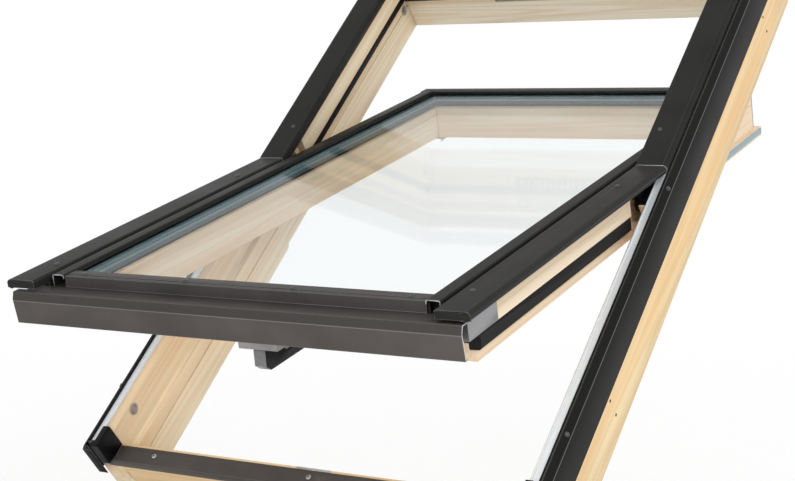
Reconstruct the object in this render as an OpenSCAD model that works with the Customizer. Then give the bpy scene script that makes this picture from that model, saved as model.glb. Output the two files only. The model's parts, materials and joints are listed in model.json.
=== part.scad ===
// Centre-pivot roof window: a pine frame with dark metal claddings, and a glazed pine sash that
// turns on two arc hinges.
// Roof coordinates are X across, Y up the slope and Z out of the roof, with zero on the sash's
// turning axis at the top of the covers. Below the axis the sash closes onto the frame's rebate,
// above it the sash closes from inside against a stop.

/* [Overall] */
// Width over the side claddings
frame_w = 780; // [660:10:1140]
// Length of the timber frame along the slope
frame_h = 1180; // [980:10:1600]
// Pitch of the roof
roof_pitch = 42; // [15:1:75]
// Angle that the sash stands open
sash_open = 28; // [0:1:60]

/* [Frame timber] */
// Depth of the frame timber
timber_depth = 136; // [120:1:160]
// Thickness of a jamb above the hinge
jamb_t = 38.5; // [37:0.5:41]
// Thickness of a jamb behind its rebate
seat_t = 43.5; // [42:0.5:46]
// Width of the rebate below the hinge
rebate_w = 10; // [9:0.5:12]
// Thickness of the head
head_t = 38; // [34:1:44]
// Thickness of the sill
sill_t = 30; // [28:1:34]
// How far the axis lies above the frame's middle
axis_shift = 18; // [12:1:24]

/* [Levels below the covers' top] */
// Top of the jambs and the head
cover_rise = 16; // [15:0.5:18]
// Plane where sash and frame seal
seal_depth = 76; // [74:1:80]
// Top of the sill
sill_drop = 56; // [54:1:58]
// Top of the sash timber
stile_drop = 20; // [19:0.5:22]
// Outer face of the glass
glass_drop = 8; // [7:0.5:9]

/* [Sash timber] */
// Height of the sash flange inside the seal plane
flange_h = 16; // [14:1:20]
// Width of the sash flange past the stile's side
flange_w = 10; // [9:0.5:11]
// Height of the batten along the lower stiles
batten_h = 32; // [28:1:34]
// Width of a stile's glass ledge
ledge_w = 23; // [20:1:26]
// Width of a stile from glass bay to side
stile_w = 28; // [26:1:34]
// Width of the top rail at the room side
top_rail_w = 46; // [40:1:60]
// Width of the bottom rail at the room side
bottom_rail_w = 60; // [52:1:70]

/* [Glass] */
// Thickness of one pane
pane_t = 4; // [3:0.5:5]
// Gap between the panes
pane_gap = 16; // [14:1:18]
// Width of the spacer bar
spacer_w = 9; // [7:1:12]

/* [Sheet metal] */
// Thickness of claddings and covers
sheet_t = 1.5; // [1:0.1:2]
// Height of the side cladding's flat flange
flange_drop = 57; // [45:1:70]
// Width of the side cladding's sloped edge
slope_w = 9; // [8:0.5:11]
// Height of the side cladding's sloped edge
slope_h = 11; // [10:0.5:12]
// Overhang of the side cladding past the sill
clad_over = 13; // [8:1:20]
// Height of the fascia
fascia_h = 47; // [40:1:52]
// Overhang of the fascia past the sill
fascia_over = 30; // [24:1:36]

/* [Hinges] */
// Inner radius of the arc runner
arc_r = 40; // [36:1:44]
// Thickness of the arc runner
arc_t = 6; // [5:0.5:8]

/* [Handle and bolts] */
// Length of the handle's lever from its spindle
lever_l = 100; // [80:5:130]
// Travel of the latch bolt
latch_travel = 14; // [10:1:16]
// Radius of the cleaning bolt's rod
rod_r = 4; // [3:0.5:5]
// Travel of the cleaning bolt
rod_travel = 17; // [16:1:24]
// Depth of the cleaning bolt's lower bush below the covers' top
clean_drop = 37.2; // [34:0.2:44]

/* [Vent] */
// Length of the vent grille
vent_l = 310; // [200:10:380]
// Height of the vent grille
vent_h = 30; // [28:1:34]
// Distance between the vent's slits
vent_pitch = 12; // [10:1:16]

/* [Fixing holes] */
// Radius of a fixing hole
fix_r = 2.5; // [2:0.25:4]
// Distance between the two holes of a pair
fix_gap = 31; // [25:1:40]
// Distance of the lower pairs below the axis
fix_low = 382; // [320:1:420]
// Distance of the upper pairs above the axis
fix_high = 452; // [400:1:470]

/* [Hidden] */
$fn = 48;
// Running gap between sash and frame, air gap under seals, gap of a guided piece
fit_gap = 1;
seal_gap = 0.3;
slide_gap = 0.3;
turn_gap = 0.1;
// One overrun for all cuts
over = 2;

// Places across, on the right-hand side
half_w = frame_w / 2;
timber_x = half_w - sheet_t;
jamb_x = timber_x - jamb_t;
seat_x = timber_x - seat_t;
rebate_x = seat_x + rebate_w;
batten_x = rebate_x - fit_gap;
flange_x = seat_x - fit_gap;
sash_x = flange_x - flange_w;
stop_x = sash_x + fit_gap;
bay_x = sash_x - stile_w;
ledge_x = bay_x - ledge_w;

// Places along the slope
axis_up = frame_h / 2 + axis_shift;
sill_s = -axis_up;
sill_in = sill_s + sill_t;
head_back = frame_h - axis_up;
head_face = head_back - head_t;
clad_end = sill_s - clad_over;
hinge_room = 70;
split_s = -hinge_room;
stop_start = 80;
head_gap = 14;
sash_top = head_face - head_gap;
top_lap = 12;
rail_top = sash_top - top_lap;
stop_head = rail_top + sheet_t + fit_gap;
sill_gap = 6;
rail_low = sill_in + sill_gap;
rail_front = sill_s + sill_gap;
batten_start = -90;

// Levels along the outward normal
top_n = -cover_rise;
room_n = top_n - timber_depth;
seal_n = -seal_depth;
sill_n = -sill_drop;
stile_n = -stile_drop;
inner_n = seal_n - flange_h;
batten_n = stile_n - batten_h;
glass_n = -glass_drop;
pane_in_n = glass_n - 2 * pane_t - pane_gap;
bed_t = 2;
bay_n = pane_in_n - bed_t;
bend_share = 6 / 11;
bend_n = top_n - bend_share * slope_h;
slope_n = bend_n + slope_h;
slope_in = timber_x - slope_w * (top_n - bend_n) / slope_h;
stop_gap = 2;
stop_n = top_n - stop_gap;
stop_h = 42;
stop_low = stop_n - stop_h;

// Glass unit
glass_edge = 3;
glass_x = bay_x - glass_edge;
bay_front = 18;
bay_back = 14;
bay_low = rail_front + bay_front;
bay_top = rail_top - bay_back;
glass_low = bay_low + glass_edge;
glass_top = bay_top - glass_edge;
seal_w = 6;
bed_w = 12;

// Beads and covers
bead_lap = 6;
sight_x = glass_x - bead_lap;
sight_low = glass_low + bead_lap;
sight_top = glass_top - bead_lap;
bead_n = -2.5;
bead_top = -0.5;
bead_gasket = 1.5;
bead_gap = 8;
cover_lap = 7.5;
cover_in = sash_x - cover_lap;
bead_x = cover_in - bead_gap;
cover_edge = 20;
cover_flat = half_w - cover_edge;
edge_r = 7;
fold_r = 3;
lip_gap = 0.2;
lip_n = slope_n + lip_gap;
cover_split = 1.2;
nose_h = 12.5;
nose_back = 4.5;

// Fascia and tray
fascia_s = sill_s - fascia_over;
nose_s = fascia_s + nose_back;
fascia_lip = 14;
fascia_top = stile_n + 2 * sheet_t;
crease_share = 0.23;
crease_out = 2.5;
hem_w = 5;
fascia_gap = 4;
fascia_x = cover_flat - fascia_gap;
ridge_n = -3;
ridge_w = 7;
ridge_gap = 1.5;
ridge_x = sight_x - slide_gap;
edge_x = cover_in - fit_gap;

// Screws: head and shank, with a cut of slightly larger radius
head_r = 4;
head_h = 1.8;
shank_r = 2;
shank_l = 22;
hole_gap = 0.1;
cover_screw_end = 56;
cover_screw_start = 17;
cover_screw_front = 40;
cover_screws_up = [stop_start, head_face - cover_screw_end];
cover_screws_low = [batten_start - cover_screw_start, rail_front + cover_screw_front];
cover_screw_x = (stop_x + jamb_x) / 2;
batten_screw_x = (sash_x + batten_x) / 2;
flange_screw_low = 110;
flange_screw_mid = 31;
flange_screw_top = 98;
flange_screws = [sill_s + flange_screw_low, -flange_screw_mid, head_face - flange_screw_top];
flange_screw_l = 16;
sill_screws_shares = [-0.82, 0, 0.82];
sill_depth_share = 0.43;
bead_screws_shares = [-0.91, -0.3, 0.3, 0.91];

// Hinge plates
plate_t = 4.7;
plate_gap = 0.3;
runner_x = sash_x + plate_gap + plate_t;
track_t = 9;
track_x = jamb_x - track_t;
groove_t = 2;
runner_r = 56;
track_r = 60;
tab_s = 68;
tab_low = 30;
arc_top = -4;
hinge_screw_s = 62;
hinge_screw_n = -21;

// Handle, lock and bolts
spindle_in = 22;
spindle_s = rail_low + spindle_in;
case_x = 30;
case_h = 44;
case_n = -58;
spindle_r = 5;
spindle_l = 21;
base_l = 64;
base_w = 38;
base_t = 13;
base_edge = 2;
neck_r = 9;
neck_gap = 1;
lever_w = 20;
lever_drop = 31;
lever_hub = 16;
lever_tip_h = 15;
lever_n = inner_n - base_t - neck_gap;
latch_w = 24;
latch_t = 9.4;
latch_n = -71;
latch_l = 12;
latch_back = 2;
latch_rest = rail_low + latch_back;
keep_depth = latch_travel;
keep_room = 2;
strike_l = 60;
strike_t = 2;
strike_h = 28;
strike_top = 4;
rod_edge = 3;
rod_t = sash_top - rod_edge;
rod_l = 60;
rod_tip = flange_x - fit_gap;
guide_l = 40;
guide_w = 16;
guide_h = 16;
guide_back = 4;
guide_x = rod_tip - guide_back - guide_l;
rod_m = inner_n - guide_h / 2;
knob_in = 1;
knob_h = 10;
bush_r = 10.5;
bush_wall = 2.5;
bush_end = 2;
bush_room = 0.5;
// The lower bush is as far from the axis as the bolt
clean_n = -clean_drop;
clean_s = -sqrt(rod_t * rod_t + rod_m * rod_m - clean_drop * clean_drop);

// Vent
vent_t = 3;
vent_gap = 8;
vent_n = stop_low - vent_gap - vent_h / 2;
slit_w = 5;
slit_h = 20;
vent_end = 10;
slit_count = floor((vent_l - 2 * vent_end) / vent_pitch);
pocket_d = 3;
slider_h = 26;
vent_travel = 6;
tab_w = 8;
tab_h = 5;
tab_out = 9;

// Small timber and sheet details
arris = 3.5;
rebate_edge = 8;
lining_up = 50;
lining_n = room_n + lining_up;
lining_w = 1.6;
lining_d = 3;
strip_w = 13;
strip_n = top_n + sheet_t;
strip_lip = 4;
seal_edge = 14;
seal_in = half_w - seal_edge;
strip_in = seal_in - strip_w;
tab_end_w = 17;
block_w = 13;
block_l = 28;
block_top = top_n + strip_lip;
block_round = 3;
strip_back = 5;
strip_edge = 3;
sill_lip = 11;
sill_front = 4;
head_slope = 13;
plate_l = 78;
fix_under = 9;
fixing_n = bend_n - flange_drop - fix_under - fix_gap / 2;

pine = [0.91, 0.80, 0.62];
dark = [0.19, 0.185, 0.18];
brown = [0.34, 0.32, 0.30];
mill = [0.80, 0.83, 0.85];
black = [0.08, 0.08, 0.09];
silver = [0.62, 0.62, 0.63];
grey = [0.50, 0.49, 0.48];
brass = [0.70, 0.55, 0.28];
slate = [0.55, 0.64, 0.70];
glass = [0.70, 0.82, 0.86, 0.45];

// Placing: the part's origin is the middle of the sill's room-side face
origin_s = sill_s + sill_t / 2;
origin_y = origin_s * cos(roof_pitch) - room_n * sin(roof_pitch);
origin_z = origin_s * sin(roof_pitch) + room_n * cos(roof_pitch);
module roof() translate([0, -origin_y, -origin_z]) rotate([roof_pitch, 0, 0]) children();
module sash() roof() rotate([-sash_open, 0, 0]) children();
module other_side() mirror([1, 0, 0]) children();

// Sections: along takes an X-Z outline up the slope, across takes a Y-Z outline sideways
module along(s0, s1) translate([0, s1, 0]) rotate([90, 0, 0]) linear_extrude(s1 - s0) children();
module across(x0, x1) translate([x0, 0, 0]) rotate([90, 0, 90]) linear_extrude(x1 - x0) children();
module box(low, high) translate(low) cube(high - low);
module rod(r, x0, x1) translate([x0, 0, 0]) rotate([0, 90, 0]) cylinder(r = r, h = x1 - x0);

// A screw stands on its seat at zero, with its head above and its shank below
module screw(length) {
    rotate_extrude() polygon([
        [0, -length], [shank_r, -length + shank_r], [shank_r, 0], [head_r, 0],
        [head_r, head_h / 3], [head_r * 2 / 3, head_h], [0, head_h]
    ]);
}
module screw_cut(length) {
    translate([0, 0, -length - hole_gap]) cylinder(r = shank_r + hole_gap, h = length + over);
}
module sheet_screws(cut, length, x, n, places) {
    for (s = places) translate([x, s, n]) {
        if (cut) screw_cut(length);
        else screw(length);
    }
}
module cover_fixings_up(cut) sheet_screws(cut, shank_l + stop_gap, cover_screw_x, 0, cover_screws_up);
module cover_fixings_low(cut) sheet_screws(cut, shank_l + stile_drop, batten_screw_x, 0, cover_screws_low);
module flange_fixings(cut) {
    for (s = flange_screws) translate([half_w - slope_w / 2, s, bend_n + slope_h / 2])
        rotate([0, atan2(slope_h, slope_w), 0]) {
            if (cut) screw_cut(flange_screw_l);
            else screw(flange_screw_l);
        }
}
module sill_fixings(cut) {
    for (k = sill_screws_shares)
        sheet_screws(cut, shank_l, k * seat_x, sill_n + sheet_t, [sill_s + sill_depth_share * sill_t]);
}
module bead_fixings(cut) {
    for (k = bead_screws_shares)
        sheet_screws(cut, shank_l + stile_drop, k * sight_x, bead_n, [bay_low - ridge_w / 2]);
}

// Frame timber
module rebate_section() {
    polygon([
        [timber_x, room_n], [seat_x, room_n], [seat_x, seal_n], [rebate_x, seal_n],
        [rebate_x, top_n - rebate_edge], [rebate_x + rebate_edge, top_n], [slope_in, top_n],
        [timber_x, bend_n]
    ]);
}
module plain_section() {
    polygon([
        [timber_x, room_n], [jamb_x, room_n], [jamb_x, top_n], [slope_in, top_n], [timber_x, bend_n]
    ]);
}
module fixing_holes() {
    for (s = [-fix_low, fix_high], k = [-1, 1])
        translate([0, s, fixing_n + k * fix_gap / 2]) rod(fix_r, timber_x - shank_l, timber_x + over);
}
module lining_groove(x, s0, s1) {
    box([x - over, s0, lining_n], [x + lining_d, s1, lining_n + lining_w]);
}
module block_section(gap) {
    polygon([
        [rebate_x - over, sill_n], [rebate_x + block_w - gap, sill_n],
        [rebate_x + block_w - gap, block_top + over], [rebate_x - over, block_top + over]
    ]);
}
module jamb() {
    difference() {
        union() {
            along(sill_s, split_s) rebate_section();
            along(split_s, head_back) plain_section();
        }
        fixing_holes();
        flange_fixings(true);
        hinge_fixings(true);
        lining_groove(seat_x, sill_s - over, split_s);
        lining_groove(jamb_x, split_s, head_back + over);
        along(sill_s - over, sill_s + block_l) block_section(0);
    }
}
function bush_depth(x) = rod_tip + rod_travel + bush_room - x;
module bush_seats() {
    translate([0, clean_s, clean_n])
        rod(bush_r, rebate_x - over, rebate_x + bush_depth(rebate_x) + bush_end);
    translate([0, rod_t, rod_m]) rod(bush_r, jamb_x - over, jamb_x + bush_depth(jamb_x) + bush_end);
}
module left_jamb() {
    color(pine) roof() other_side() difference() {
        jamb();
        bush_seats();
    }
}
module right_jamb() {
    color(pine) roof() jamb();
}
module head() {
    color(pine) roof() difference() {
        box([-jamb_x, head_face, room_n], [jamb_x, head_back, top_n]);
        box(
            [-vent_l / 2 + vent_t - vent_travel, head_face - over, vent_n - slider_h / 2 - slide_gap],
            [vent_l / 2 - vent_t + vent_travel, head_face + pocket_d, vent_n + slider_h / 2 + slide_gap]
        );
    }
}
module sill() {
    color(pine) roof() difference() {
        union() {
            box([-seat_x, sill_s, room_n], [seat_x, sill_in, sill_n]);
            box([-rebate_x, sill_s, seal_n], [rebate_x, sill_in, sill_n]);
        }
        sill_fixings(true);
        strike_body();
        box(
            [-latch_w / 2 - keep_room, sill_in - keep_depth, latch_n - latch_t / 2 - keep_room],
            [latch_w / 2 + keep_room, sill_in + over, latch_n + latch_t / 2 + keep_room]
        );
    }
}

// Stops and the seal on them, above the hinge
module side_stop() {
    difference() {
        along(stop_start - head_r - over, stop_head)
            polygon([[stop_x, stop_low], [jamb_x, stop_low], [jamb_x, stop_n], [stop_x, stop_n]]);
        cover_fixings_up(true);
    }
}
module left_upper_stop() {
    color(pine) roof() other_side() side_stop();
}
module right_upper_stop() {
    color(pine) roof() side_stop();
}
module head_stop() {
    color(pine) roof() box([-jamb_x, stop_head, stop_low], [jamb_x, head_face, stop_n]);
}
module frame_gasket() {
    low = seal_n + seal_gap;
    color(black) roof() {
        for (k = [0, 1]) mirror([k, 0, 0])
            along(stop_start, stop_head + flange_w + fit_gap) polygon([
                [stop_x + fit_gap, stop_low], [stop_x + fit_gap + flange_w, stop_low],
                [stop_x + flange_w, low], [stop_x + fit_gap + flange_w / 4, low]
            ]);
        across(-stop_x - fit_gap, stop_x + fit_gap) polygon([
            [stop_head + fit_gap, stop_low], [stop_head + fit_gap + flange_w, stop_low],
            [stop_head + flange_w, low], [stop_head + fit_gap + flange_w / 4, low]
        ]);
    }
}

// Frame claddings
module side_cladding() {
    difference() {
        union() {
            along(clad_end, head_back) polygon([
                [half_w, bend_n - flange_drop], [half_w, bend_n], [half_w - slope_w, slope_n],
                [timber_x - slope_w, slope_n], [timber_x, bend_n], [timber_x, bend_n - flange_drop]
            ]);
            along(clad_end, clad_end + sheet_t) polygon([
                [half_w, bend_n - flange_drop], [half_w, bend_n], [half_w - slope_w, slope_n],
                [half_w - tab_end_w, slope_n], [half_w - tab_end_w, bend_n - flange_drop]
            ]);
        }
        flange_fixings(true);
    }
}
module left_side_cladding() {
    color(dark) roof() other_side() side_cladding();
}
module right_side_cladding() {
    color(dark) roof() side_cladding();
}
module drain_strip() {
    along(sill_s, head_back) polygon([
        [strip_in, top_n], [seal_in, top_n], [seal_in, strip_n], [strip_in + sheet_t, strip_n],
        [strip_in + sheet_t, top_n + strip_lip], [strip_in, top_n + strip_lip]
    ]);
}
module strip_piece() {
    difference() {
        drain_strip();
        along(sill_s - over, sill_s + block_l) block_section(-slide_gap);
    }
}
module left_drain_strip() {
    color(mill) roof() other_side() strip_piece();
}
module right_drain_strip() {
    color(mill) roof() strip_piece();
}
module side_seal() {
    difference() {
        along(sill_s, head_back) polygon([
            [seal_in, top_n], [slope_in, top_n], [timber_x - slope_w, slope_n], [seal_in, slope_n]
        ]);
        flange_fixings(true);
    }
}
module left_side_seal() {
    color(black) roof() other_side() side_seal();
}
module right_side_seal() {
    color(black) roof() side_seal();
}
module sill_cladding() {
    back = sill_in - strip_back;
    front = sill_s - sill_front;
    end = sill_s - seal_gap;
    half = fascia_x;
    color(brown) roof() difference() {
        union() {
            box([-batten_x, end, sill_n], [batten_x, back, sill_n + sheet_t]);
            across(-half, half) polygon([
                [end, sill_n], [end, sill_n + sheet_t], [front, sill_n + sheet_t],
                [front - sheet_t, sill_n - sheet_t], [front - sheet_t, sill_n - sill_lip],
                [front, sill_n - sill_lip], [front, sill_n]
            ]);
        }
        sill_fixings(true);
    }
}
module head_cladding() {
    front = stop_head + fit_gap;
    back = head_back + sheet_t;
    low = bend_n - flange_drop;
    color(dark) roof() across(-cover_in, cover_in) polygon([
        [front, stop_n], [front, 0], [back - head_slope, 0], [back, -head_slope], [back, low],
        [head_back, low], [head_back, -head_slope - sheet_t / 2],
        [back - head_slope - sheet_t / 2, -sheet_t], [front + sheet_t, -sheet_t], [front + sheet_t, stop_n]
    ]);
}

// A cover is a folded channel with round edges
module fold(x, n, r, side) {
    translate([x, n]) intersection() {
        difference() {
            circle(r = r);
            circle(r = r - sheet_t);
        }
        translate([side > 0 ? 0 : -r, 0]) square(r);
    }
}
module cover_section(foot) {
    x = cover_flat + edge_r;
    translate([cover_in, foot]) square([sheet_t, -fold_r - foot]);
    fold(cover_in + fold_r, -fold_r, fold_r, -1);
    translate([cover_in + fold_r, -sheet_t]) square([cover_flat - cover_in - fold_r, sheet_t]);
    fold(cover_flat, -edge_r, edge_r, 1);
    translate([x - sheet_t, lip_n]) square([sheet_t, -edge_r - lip_n]);
}
module nose_section() {
    translate([cover_in, -nose_h]) square([fold_r, nose_h - fold_r]);
    translate([cover_in + fold_r, -nose_h]) square([cover_flat - cover_in - fold_r, nose_h]);
    translate([cover_flat, -nose_h]) square([edge_r, nose_h - edge_r]);
    translate([cover_in + fold_r, -fold_r]) circle(r = fold_r);
    translate([cover_flat, -edge_r]) circle(r = edge_r);
}
module upper_cover() {
    difference() {
        union() {
            along(cover_split, head_face) cover_section(stop_n);
            along(head_face, head_back + sheet_t) cover_section(top_n);
        }
        cover_fixings_up(true);
    }
}
module left_upper_cover() {
    color(dark) roof() other_side() upper_cover();
}
module right_upper_cover() {
    color(dark) roof() upper_cover();
}
module lower_cover() {
    difference() {
        union() {
            along(rail_front, -cover_split) cover_section(stile_n);
            along(nose_s, rail_front) cover_section(-nose_h);
            along(nose_s, nose_s + sheet_t) nose_section();
        }
        cover_fixings_low(true);
    }
}
module left_lower_cover() {
    color(dark) sash() other_side() lower_cover();
}
module right_lower_cover() {
    color(dark) sash() lower_cover();
}
module block_profile(low, high, foot) {
    translate([low, foot]) square([high - low, block_top - block_round - foot]);
    translate([low + block_round, foot]) square([high - low - block_round, block_top - foot]);
    translate([low + block_round, block_top - block_round]) circle(r = block_round);
}
module corner_block() {
    low = rebate_x + seal_gap;
    along(sill_s, sill_s + block_l - slide_gap)
        block_profile(low, rebate_x + block_w - slide_gap, sill_n);
    along(clad_end + sheet_t, sill_s)
        block_profile(low, half_w - tab_end_w - slide_gap, sill_n + sheet_t + seal_gap);
}
module left_corner_block() {
    color(black) roof() other_side() corner_block();
}
module right_corner_block() {
    color(black) roof() corner_block();
}

// Arc hinge: a runner on the stile slides in an arc groove of the plate on the jamb
module half_disc(r, x0, x1) {
    intersection() {
        rod(r, x0, x1);
        box([x0 - over, -r - over, -r - over], [x1 + over, r + over, arc_top]);
    }
}
module arc_band(r0, r1, x0, x1) {
    difference() {
        half_disc(r1, x0, x1);
        rod(r0, x0 - over, x1 + over);
    }
}
module hinge_fixings(cut) {
    for (k = [-1, 1]) translate([track_x + groove_t, k * hinge_screw_s, hinge_screw_n])
        rotate([0, -90, 0]) {
            if (cut) screw_cut(shank_l);
            else screw(shank_l);
        }
}
module hinge_track() {
    difference() {
        union() {
            half_disc(track_r, track_x, jamb_x);
            box([track_x + groove_t, -tab_s, -tab_low], [jamb_x, tab_s, top_n + groove_t]);
            box([jamb_x, -tab_s, top_n], [strip_in - slide_gap, tab_s, top_n + groove_t]);
        }
        arc_band(arc_r - slide_gap, arc_r + arc_t + slide_gap, track_x - over, jamb_x - groove_t);
        half_disc(arc_r / 2, track_x - over, jamb_x + over);
        hinge_fixings(true);
    }
}
module left_hinge_track() {
    color(black) roof() other_side() hinge_track();
}
module right_hinge_track() {
    color(black) roof() hinge_track();
}
module hinge_runner() {
    difference() {
        half_disc(runner_r, sash_x, runner_x);
        half_disc(arc_r / 2, sash_x - over, runner_x + over);
    }
    arc_band(arc_r, arc_r + arc_t, runner_x, jamb_x - groove_t - slide_gap);
}
module left_hinge_runner() {
    color(brass) sash() other_side() hinge_runner();
}
module right_hinge_runner() {
    color(brass) sash() hinge_runner();
}

// Striker let into the sill
module strike_body() {
    x = strike_l / 2;
    box([-x, sill_in - strike_t, sill_n - strike_h], [x, sill_in, sill_n]);
    box([-x, sill_in - strike_top, sill_n - strike_t / 2], [x, sill_in, sill_n]);
}
module striker_plate() {
    color(silver) roof() difference() {
        strike_body();
        box(
            [-latch_w / 2 - keep_room, sill_in - keep_depth, latch_n - latch_t / 2 - keep_room],
            [latch_w / 2 + keep_room, sill_in + over, latch_n + latch_t / 2 + keep_room]
        );
    }
}

// Vent in the head, with a slide behind the grille
module slits(x, s0, s1) {
    for (i = [0 : slit_count - 1]) {
        c = x + (i - (slit_count - 1) / 2) * vent_pitch;
        if (abs(c - x) > vent_pitch)
            box([c - slit_w / 2, s0, vent_n - slit_h / 2], [c + slit_w / 2, s1, vent_n + slit_h / 2]);
    }
}
module vent_grille() {
    color(silver) roof() difference() {
        box(
            [-vent_l / 2, head_face - vent_t, vent_n - vent_h / 2],
            [vent_l / 2, head_face, vent_n + vent_h / 2]
        );
        slits(0, head_face - vent_t - over, head_face + over);
        box(
            [-tab_w / 2 - slide_gap, head_face - vent_t - over, vent_n - tab_h / 2 - slide_gap],
            [tab_w / 2 + vent_travel + slide_gap, head_face + over, vent_n + tab_h / 2 + slide_gap]
        );
    }
}
module vent_slider() {
    low = head_face + slide_gap;
    color(grey) roof() {
        difference() {
            box(
                [-vent_l / 2 + vent_t, low, vent_n - slider_h / 2],
                [vent_l / 2 - vent_t, head_face + pocket_d - slide_gap, vent_n + slider_h / 2]
            );
            slits(0, low - over, head_face + pocket_d + over);
        }
        box([-tab_w / 2, low - tab_out, vent_n - tab_h / 2], [tab_w / 2, low, vent_n + tab_h / 2]);
    }
}

// Grey bushes in the left jamb for the cleaning bolt
module bush(x) {
    difference() {
        rod(bush_r, x, x + bush_depth(x) + bush_end);
        rod(bush_r - bush_wall, x - over, x + bush_depth(x));
    }
}
module bolt_bushes() {
    color(grey) roof() other_side() {
        translate([0, clean_s, clean_n]) bush(rebate_x);
        translate([0, rod_t, rod_m]) bush(jamb_x);
    }
}
module frame_screws() {
    color(silver) roof() {
        for (k = [0, 1]) mirror([k, 0, 0]) {
            cover_fixings_up(false);
            flange_fixings(false);
            hinge_fixings(false);
        }
        sill_fixings(false);
    }
}

// Sash timber
module stile() {
    difference() {
        union() {
            along(rail_low, rail_top) polygon([
                [ledge_x, inner_n], [flange_x, inner_n], [flange_x, seal_n], [sash_x, seal_n],
                [sash_x, stile_n], [bay_x, stile_n], [bay_x, bay_n], [ledge_x, bay_n]
            ]);
            along(rail_front, rail_low) polygon([
                [ledge_x, batten_n], [sash_x, batten_n], [sash_x, stile_n], [bay_x, stile_n],
                [bay_x, bay_n], [ledge_x, bay_n]
            ]);
            along(rail_front, batten_start) polygon([
                [sash_x, batten_n], [batten_x, batten_n], [batten_x, stile_n], [sash_x, stile_n]
            ]);
        }
        box(
            [batten_x - sheet_t, rail_front - over, batten_n - over],
            [batten_x + over, rail_front + plate_l, stile_n + over]
        );
        cover_fixings_low(true);
        flange_seal_body();
    }
}
module left_stile() {
    color(pine) sash() other_side() stile();
}
module right_stile() {
    color(pine) sash() stile();
}
module top_rail() {
    color(pine) sash() difference() {
        union() {
            box([-ledge_x, sash_top - top_rail_w - top_lap, inner_n], [ledge_x, rail_top, bay_n]);
            box([-flange_x, rail_top, inner_n], [flange_x, sash_top, seal_n]);
            box([-bay_x, bay_top, bay_n], [bay_x, rail_top, stile_n]);
        }
        flange_seal_body();
    }
}
module case_room() {
    box([-case_x, rail_low - over, inner_n - over], [case_x, rail_low + case_h, case_n]);
}
module bottom_rail() {
    color(pine) sash() difference() {
        union() {
            box([-ledge_x, rail_low, inner_n], [ledge_x, rail_low + bottom_rail_w, bay_n]);
            box([-ledge_x, rail_front, batten_n], [ledge_x, rail_low, bay_n]);
            box([-bay_x, rail_front, bay_n], [bay_x, bay_low, stile_n]);
        }
        case_room();
        bead_fixings(true);
    }
}

// Glass unit: two panes, the spacer bar and the edge sealant between them
module pane(n) {
    box([-glass_x, glass_low, n - pane_t], [glass_x, glass_top, n]);
}
module edge_ring(gap, width, n0, n1) {
    difference() {
        box([-glass_x + gap, glass_low + gap, n0], [glass_x - gap, glass_top - gap, n1]);
        box(
            [-glass_x + gap + width, glass_low + gap + width, n0 - over],
            [glass_x - gap - width, glass_top - gap - width, n1 + over]
        );
    }
}
module outer_pane() {
    color(glass) sash() pane(glass_n);
}
module inner_pane() {
    color(glass) sash() pane(glass_n - pane_t - pane_gap);
}
module spacer_bar() {
    color(silver) sash() edge_ring(seal_w, spacer_w, glass_n - pane_t - pane_gap, glass_n - pane_t);
}
module edge_sealant() {
    color(black) sash() edge_ring(0, seal_w, glass_n - pane_t - pane_gap, glass_n - pane_t);
}
module glazing_tape() {
    color(black) sash() edge_ring(0, bed_w, bay_n, pane_in_n);
}

// Beads hold the glass down on a thin rubber
module bead_section(inner, outer) {
    low = glass_n + bead_gasket;
    w = inner < outer ? sheet_t : -sheet_t;
    polygon([
        [inner, low], [inner + w / 2, bead_n], [outer, bead_n], [outer, stile_n], [outer - w, stile_n],
        [outer - w, bead_n - sheet_t], [inner + 2 * w, bead_n - sheet_t], [inner + w, low]
    ]);
}
module side_bead() {
    low = glass_n + bead_gasket;
    fold_n = bead_top - fold_r;
    along(rail_front, sight_top - slide_gap) {
        translate([sight_x, low]) square([sheet_t, fold_n - low]);
        fold(sight_x + fold_r, fold_n, fold_r, -1);
        translate([sight_x + fold_r, bead_top - sheet_t]) square([bead_x - sight_x - 2 * fold_r, sheet_t]);
        fold(bead_x - fold_r, fold_n, fold_r, 1);
        translate([bead_x - sheet_t, stile_n]) square([sheet_t, fold_n - stile_n]);
    }
}
module left_glazing_bead() {
    color(dark) sash() other_side() side_bead();
}
module right_glazing_bead() {
    color(dark) sash() side_bead();
}
module bottom_glazing_bead() {
    color(dark) sash() difference() {
        across(-ridge_x, ridge_x) bead_section(sight_low, bay_low - ridge_w);
        bead_fixings(true);
    }
}
module bead_gasket() {
    w = 2 * sheet_t;
    color(black) sash() difference() {
        box([-sight_x - w, sight_low - w, glass_n], [sight_x + w, sight_top + w, glass_n + bead_gasket]);
        box([-sight_x, sight_low, glass_n - over], [sight_x, sight_top, glass_n + bead_gasket + over]);
    }
}
module flange_seal_body() {
    low = inner_n + strip_edge;
    high = seal_n - strip_edge;
    for (k = [0, 1]) mirror([k, 0, 0])
        box([flange_x - sheet_t, stop_start, low], [flange_x, sash_top, high]);
    box([-flange_x, sash_top - sheet_t, low], [flange_x, sash_top, high]);
}
module flange_seal() {
    color(slate) sash() flange_seal_body();
}
module top_edge_cladding() {
    end = rail_top + sheet_t;
    low = glass_n + bead_gasket;
    color(black) sash() {
        across(-edge_x, edge_x) polygon([
            [sight_top, low], [sight_top, bead_n], [end, bead_n], [end, stile_n], [rail_top, stile_n],
            [rail_top, bead_n - sheet_t], [sight_top + sheet_t, bead_n - sheet_t],
            [sight_top + sheet_t, low]
        ]);
        box([-sash_x, rail_top, seal_n + fit_gap], [sash_x, end, stile_n]);
    }
}

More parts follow.
